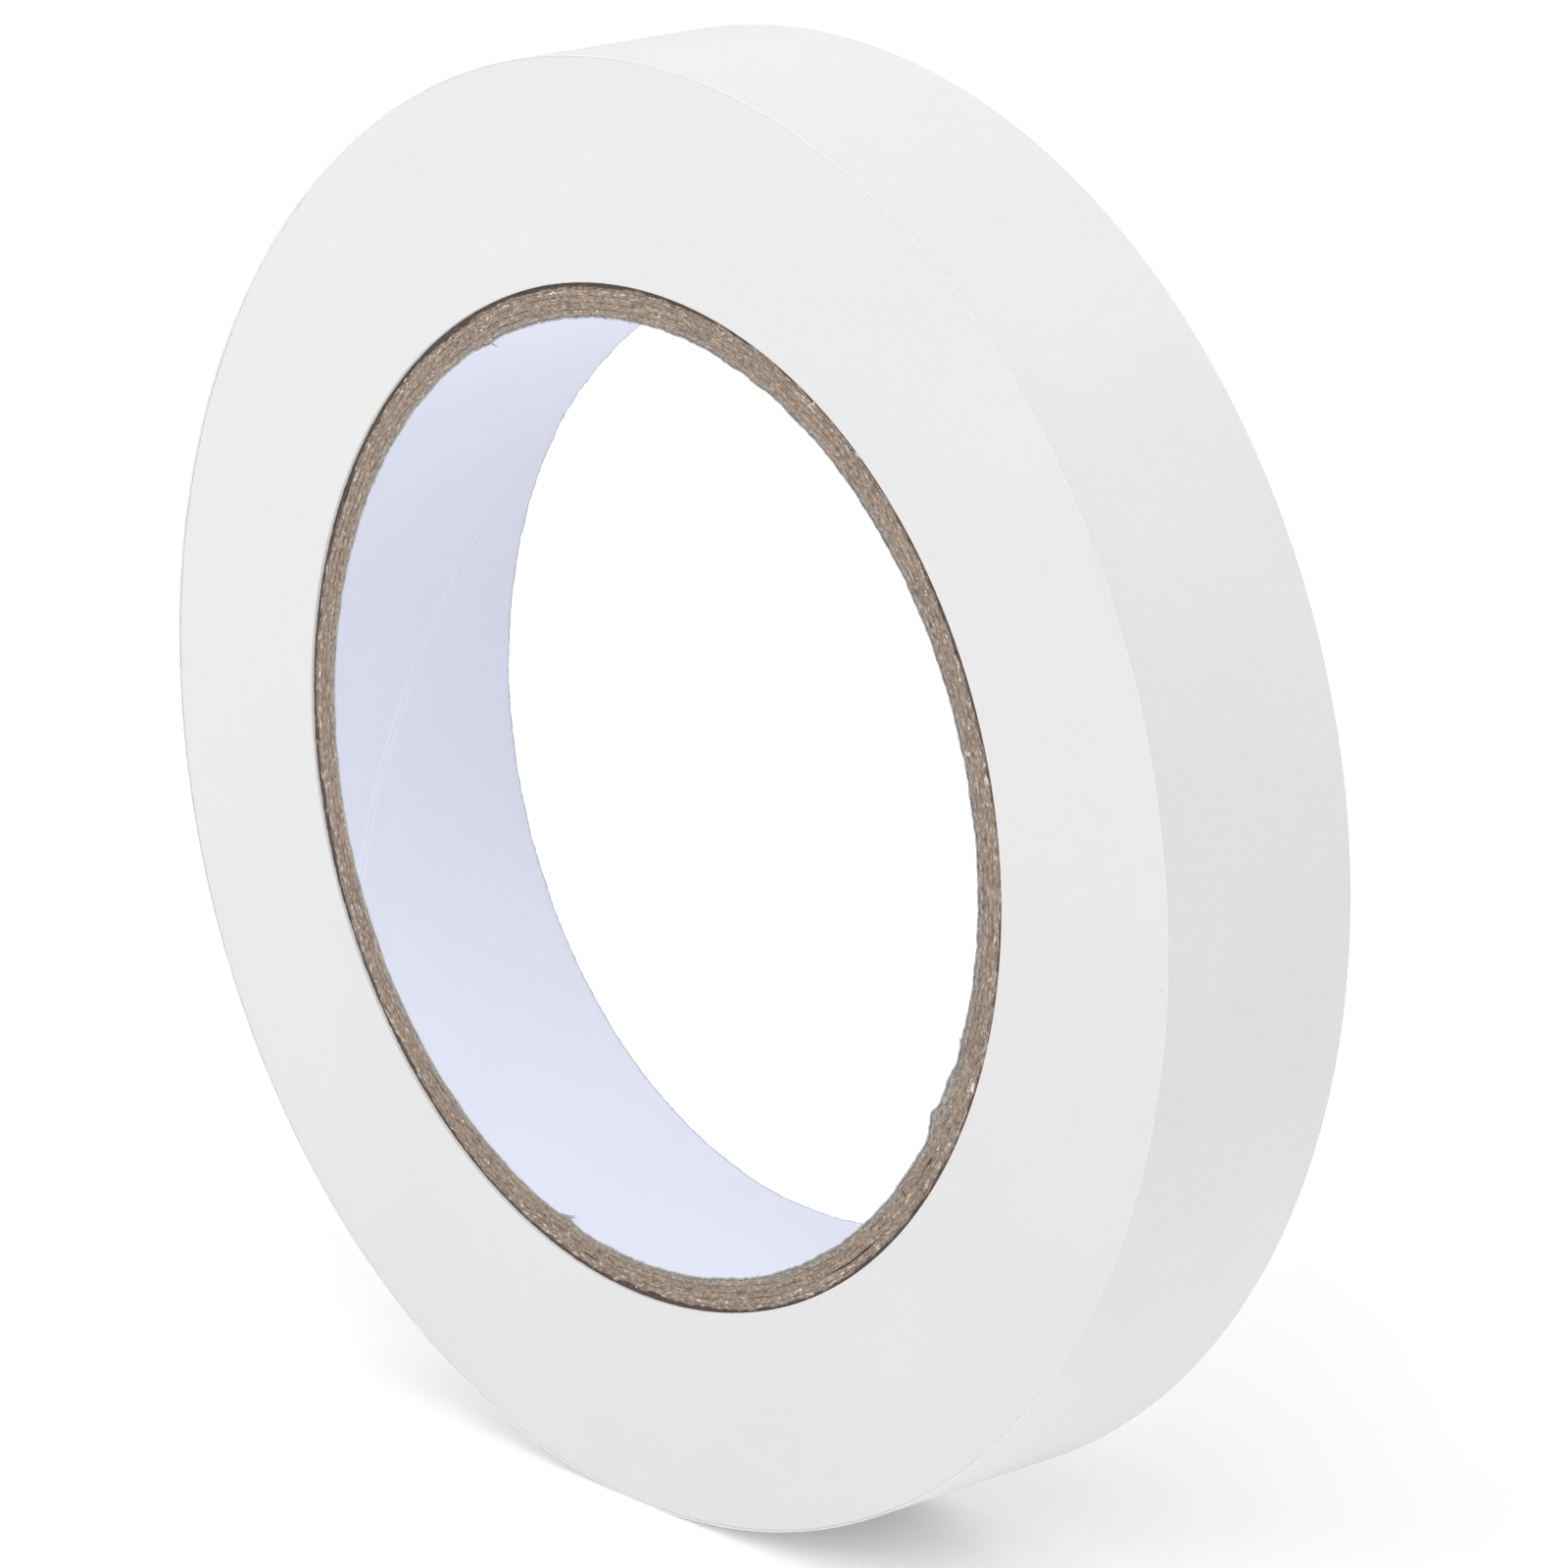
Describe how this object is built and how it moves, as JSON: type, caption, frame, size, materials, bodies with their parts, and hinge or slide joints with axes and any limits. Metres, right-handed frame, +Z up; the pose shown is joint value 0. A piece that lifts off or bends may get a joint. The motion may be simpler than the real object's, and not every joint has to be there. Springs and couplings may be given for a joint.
{
  "type": "masking tape roll",
  "caption": "Roll of creped paper masking tape on a laminated cardboard core, with a free end that lifts and bends.",
  "frame": {"origin": "centre of the core's bore, half way across the tape's width", "axes": "+Z up with the roll standing on its tread; the bore's axis lies along Y and the face seen in front is at -Y; +X right"},
  "size_m": [0.1168, 0.019, 0.1167],
  "materials": {
    "crepe_paper": "matt, finely creped",
    "adhesive": "tacky satin",
    "chipboard": "matt, fibrous",
    "liner_paper": "matt, smooth"
  },
  "bodies": {
    "roll": {"core_liner": "liner_paper", "core_ply_1": "chipboard", "core_ply_2": "chipboard", "core_ply_3": "chipboard", "core_ply_4": "chipboard", "core_ply_5": "chipboard", "tape_turns": "crepe_paper"},
    "tail_01": {"tail_backing_01": "crepe_paper", "tail_adhesive_01": "adhesive"},
    "tail_02": {"tail_backing_02": "crepe_paper", "tail_adhesive_02": "adhesive"},
    "tail_03": {"tail_backing_03": "crepe_paper", "tail_adhesive_03": "adhesive"},
    "tail_04": {"tail_backing_04": "crepe_paper", "tail_adhesive_04": "adhesive"},
    "tail_05": {"tail_backing_05": "crepe_paper", "tail_adhesive_05": "adhesive"},
    "tail_06": {"tail_backing_06": "crepe_paper", "tail_adhesive_06": "adhesive"},
    "tail_07": {"tail_backing_07": "crepe_paper", "tail_adhesive_07": "adhesive"},
    "tail_08": {"tail_backing_08": "crepe_paper", "tail_adhesive_08": "adhesive"},
    "tail_09": {"tail_backing_09": "crepe_paper", "tail_adhesive_09": "adhesive"},
    "tail_10": {"tail_backing_10": "crepe_paper", "tail_adhesive_10": "adhesive"},
    "tail_11": {"tail_backing_11": "crepe_paper", "tail_adhesive_11": "adhesive"},
    "tail_12": {"tail_backing_12": "crepe_paper", "tail_adhesive_12": "adhesive"}
  },
  "joints": [
    {"name": "tail_peel", "type": "hinge", "parent": "roll", "child": "tail_01", "pos_m": [-0.02187, 0, 0.05414], "axis": [0, 1, 0], "range_deg": [0, 55]},
    {"name": "tail_bend_02", "type": "hinge", "parent": "tail_01", "child": "tail_02", "pos_m": [-0.02696, 0, 0.05179], "axis": [0, 1, 0], "range_deg": [0, 8]},
    {"name": "tail_bend_03", "type": "hinge", "parent": "tail_02", "child": "tail_03", "pos_m": [-0.03179, 0, 0.04898], "axis": [0, 1, 0], "range_deg": [0, 8]},
    {"name": "tail_bend_04", "type": "hinge", "parent": "tail_03", "child": "tail_04", "pos_m": [-0.03634, 0, 0.04571], "axis": [0, 1, 0], "range_deg": [0, 8]},
    {"name": "tail_bend_05", "type": "hinge", "parent": "tail_04", "child": "tail_05", "pos_m": [-0.04055, 0, 0.04202], "axis": [0, 1, 0], "range_deg": [0, 8]},
    {"name": "tail_bend_06", "type": "hinge", "parent": "tail_05", "child": "tail_06", "pos_m": [-0.04438, 0, 0.03794], "axis": [0, 1, 0], "range_deg": [0, 8]},
    {"name": "tip_peel", "type": "hinge", "parent": "tail_06", "child": "tail_07", "pos_m": [-0.04781, 0, 0.03352], "axis": [0, 1, 0], "range_deg": [0, 75]},
    {"name": "tip_bend_08", "type": "hinge", "parent": "tail_07", "child": "tail_08", "pos_m": [-0.0508, 0, 0.02878], "axis": [0, 1, 0], "range_deg": [0, 9]},
    {"name": "tip_bend_09", "type": "hinge", "parent": "tail_08", "child": "tail_09", "pos_m": [-0.05333, 0, 0.02379], "axis": [0, 1, 0], "range_deg": [0, 9]},
    {"name": "tip_bend_10", "type": "hinge", "parent": "tail_09", "child": "tail_10", "pos_m": [-0.05536, 0, 0.01857], "axis": [0, 1, 0], "range_deg": [0, 9]},
    {"name": "tip_bend_11", "type": "hinge", "parent": "tail_10", "child": "tail_11", "pos_m": [-0.05688, 0, 0.01318], "axis": [0, 1, 0], "range_deg": [0, 9]},
    {"name": "tip_bend_12", "type": "hinge", "parent": "tail_11", "child": "tail_12", "pos_m": [-0.05788, 0, 0.00768], "axis": [0, 1, 0], "range_deg": [0, 9]}
  ],
  "couplings": [
    {"joint": "tail_bend_02", "follows": "tail_peel", "ratio": 0.14},
    {"joint": "tail_bend_03", "follows": "tail_peel", "ratio": 0.14},
    {"joint": "tail_bend_04", "follows": "tail_peel", "ratio": 0.14},
    {"joint": "tail_bend_05", "follows": "tail_peel", "ratio": 0.14},
    {"joint": "tail_bend_06", "follows": "tail_peel", "ratio": 0.14},
    {"joint": "tip_bend_08", "follows": "tip_peel", "ratio": 0.12},
    {"joint": "tip_bend_09", "follows": "tip_peel", "ratio": 0.12},
    {"joint": "tip_bend_10", "follows": "tip_peel", "ratio": 0.12},
    {"joint": "tip_bend_11", "follows": "tip_peel", "ratio": 0.12},
    {"joint": "tip_bend_12", "follows": "tip_peel", "ratio": 0.12}
  ]
}
